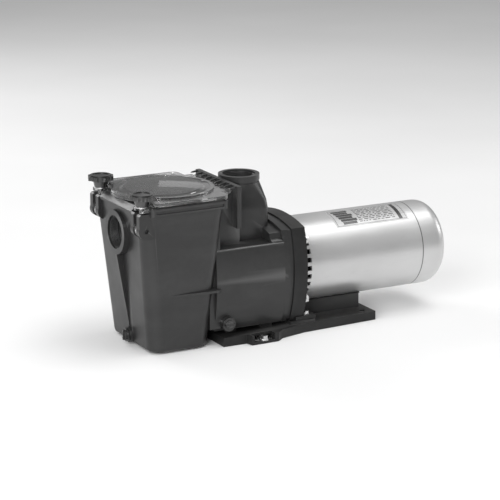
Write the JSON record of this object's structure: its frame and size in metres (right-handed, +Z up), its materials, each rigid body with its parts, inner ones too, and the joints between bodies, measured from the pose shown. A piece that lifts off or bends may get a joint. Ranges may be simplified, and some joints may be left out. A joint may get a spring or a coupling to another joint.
{
  "type": "pool pump",
  "caption": "Self-priming pool pump: strainer pot with a smoky lid held by two swing bolts with hand knobs, moulded volute with an upward discharge port, horizontal motor on a moulded base.",
  "frame": {"origin": "centre of the box round the part, on the floor under the base", "axes": "+X along the shaft from the suction port to the motor, +Z up, so +Y is on the left of someone at the motor who looks at the suction port's back, the far side from the side drain"},
  "size_m": [0.638, 0.224, 0.282],
  "materials": {
    "body_plastic": "fine-grained charcoal moulding, dark and slightly glossy on the edges",
    "cover_plastic": "smoky see-through plastic, glossy",
    "black_rubber": "matt black elastomer",
    "basket_plastic": "grey moulding, satin",
    "stainless": "stainless steel, turned or drawn",
    "knob_plastic": "black moulding with a soft sheen",
    "brass": "turned brass",
    "inner_plastic": "black glass-filled moulding",
    "diffuser_plastic": "light grey glass-filled moulding",
    "ring_plastic": "slippery wear-ring plastic",
    "seal_ceramic": "lapped white ceramic",
    "seal_carbon": "lapped carbon graphite",
    "base_plastic": "black moulding, fine grain",
    "motor_paint": "bright silver paint, glossy",
    "end_bell_casting": "die-cast aluminium, satin",
    "lamination_steel": "stacked steel sheet",
    "copper_wire": "varnished copper winding",
    "bearing_steel": "ground and polished steel",
    "capacitor_case": "black case",
    "board_phenolic": "brown phenolic board",
    "overload_case": "black thermoset case",
    "plate_foil": "printed foil, satin",
    "copper_lug": "bare copper"
  },
  "bodies": {
    "pump_frame": {"pump_housing": "body_plastic", "strainer_basket": "basket_plastic", "hinge_pins": "stainless", "housing_gasket": "black_rubber", "diffuser": "diffuser_plastic", "diffuser_gasket": "black_rubber", "diffuser_screws": "stainless", "impeller_ring": "ring_plastic", "seal_carbon": "seal_carbon", "seal_bellows": "black_rubber", "seal_spring": "stainless", "seal_cup": "stainless", "seal_plate": "inner_plastic", "motor_plate": "base_plastic", "housing_bolts": "stainless", "housing_bolt_washers": "stainless", "motor_screws": "stainless", "support_base": "base_plastic", "base_screws": "stainless", "foot_bolts": "stainless", "motor_pad": "black_rubber", "motor_shell": "motor_paint", "drive_end_bell": "motor_paint", "rear_end_bell": "end_bell_casting", "rear_cover": "motor_paint", "rear_cover_screws": "stainless", "through_bolts": "stainless", "stator_core": "lamination_steel", "stator_windings": "copper_wire", "bearing_outer_rings": "bearing_steel", "wave_washer": "stainless", "capacitor": "capacitor_case", "capacitor_clamp": "stainless", "terminal_board": "board_phenolic", "thermal_overload": "overload_case", "nameplate": "plate_foil", "bonding_lug": "copper_lug"},
    "cover": {"strainer_cover": "cover_plastic", "cover_o_ring": "black_rubber"},
    "swing_left": {"swing_bolt_left": "stainless"},
    "swing_right": {"swing_bolt_right": "stainless"},
    "washer_left": {"knob_washer_left": "stainless"},
    "washer_right": {"knob_washer_right": "stainless"},
    "knob_left": {"hand_knob_left": "knob_plastic", "knob_insert_left": "brass"},
    "knob_right": {"hand_knob_right": "knob_plastic", "knob_insert_right": "brass"},
    "gasket_front": {"drain_gasket_front": "black_rubber"},
    "gasket_side": {"drain_gasket_side": "black_rubber"},
    "plug_front": {"drain_plug_front": "knob_plastic"},
    "plug_side": {"drain_plug_side": "knob_plastic"},
    "rotor": {"impeller": "inner_plastic", "seal_seat": "seal_ceramic", "seal_seat_cup": "black_rubber", "shaft_slinger": "black_rubber", "motor_shaft": "bearing_steel", "rotor_core": "lamination_steel", "cooling_fan": "inner_plastic", "bearing_inner_rings": "bearing_steel"},
    "ball_sets": {"bearing_ball_sets": "bearing_steel"}
  },
  "joints": [
    {"name": "shaft_spin", "type": "hinge", "parent": "pump_frame", "child": "rotor", "pos_m": [0, 0, 0.111], "axis": [1, 0, 0], "continuous": true},
    {"name": "ball_orbit", "type": "hinge", "parent": "pump_frame", "child": "ball_sets", "pos_m": [0, 0, 0.111], "axis": [1, 0, 0], "continuous": true},
    {"name": "swing_bolt_left_tilt", "type": "hinge", "parent": "pump_frame", "child": "swing_left", "pos_m": [-0.296, 0.082, 0.221], "axis": [0, -1, 0], "range_deg": [0, 110]},
    {"name": "knob_left_travel", "type": "slide", "parent": "swing_left", "child": "washer_left", "axis": [0, 0, 1], "range_m": [0, 0.0142]},
    {"name": "knob_left_turn", "type": "hinge", "parent": "washer_left", "child": "knob_left", "pos_m": [-0.296, 0.082, 0.221], "axis": [0, 0, 1], "range_deg": [0, 3228]},
    {"name": "swing_bolt_right_tilt", "type": "hinge", "parent": "pump_frame", "child": "swing_right", "pos_m": [-0.296, -0.082, 0.221], "axis": [0, -1, 0], "range_deg": [0, 110]},
    {"name": "knob_right_travel", "type": "slide", "parent": "swing_right", "child": "washer_right", "axis": [0, 0, 1], "range_m": [0, 0.0142]},
    {"name": "knob_right_turn", "type": "hinge", "parent": "washer_right", "child": "knob_right", "pos_m": [-0.296, -0.082, 0.221], "axis": [0, 0, 1], "range_deg": [0, 3228]},
    {"name": "cover_tilt", "type": "hinge", "parent": "pump_frame", "child": "cover", "pos_m": [-0.123, 0, 0.264], "axis": [0, 1, 0], "range_deg": [0, 4.3]},
    {"name": "drain_plug_front_travel", "type": "slide", "parent": "pump_frame", "child": "gasket_front", "axis": [-1, 0, 0], "range_m": [0, 0.014]},
    {"name": "drain_plug_front_turn", "type": "hinge", "parent": "gasket_front", "child": "plug_front", "pos_m": [-0.287, 0, 0.017], "axis": [-1, 0, 0], "range_deg": [0, 3583]},
    {"name": "drain_plug_side_travel", "type": "slide", "parent": "pump_frame", "child": "gasket_side", "axis": [0, -1, 0], "range_m": [0, 0.014]},
    {"name": "drain_plug_side_turn", "type": "hinge", "parent": "gasket_side", "child": "plug_side", "pos_m": [-0.14, -0.09, 0.038], "axis": [0, -1, 0], "range_deg": [0, 3583]}
  ],
  "couplings": [
    {"joint": "ball_orbit", "follows": "shaft_spin", "ratio": 0.3817},
    {"joint": "knob_left_turn", "follows": "knob_left_travel", "rad_per_m": 3957.9},
    {"joint": "knob_right_travel", "follows": "knob_left_travel", "ratio": 1},
    {"joint": "knob_right_turn", "follows": "knob_left_travel", "rad_per_m": 3957.9},
    {"joint": "cover_tilt", "follows": "knob_left_travel", "rad_per_m": 5.2},
    {"joint": "drain_plug_front_turn", "follows": "drain_plug_front_travel", "rad_per_m": 4456.2},
    {"joint": "drain_plug_side_turn", "follows": "drain_plug_side_travel", "rad_per_m": 4456.2}
  ]
}
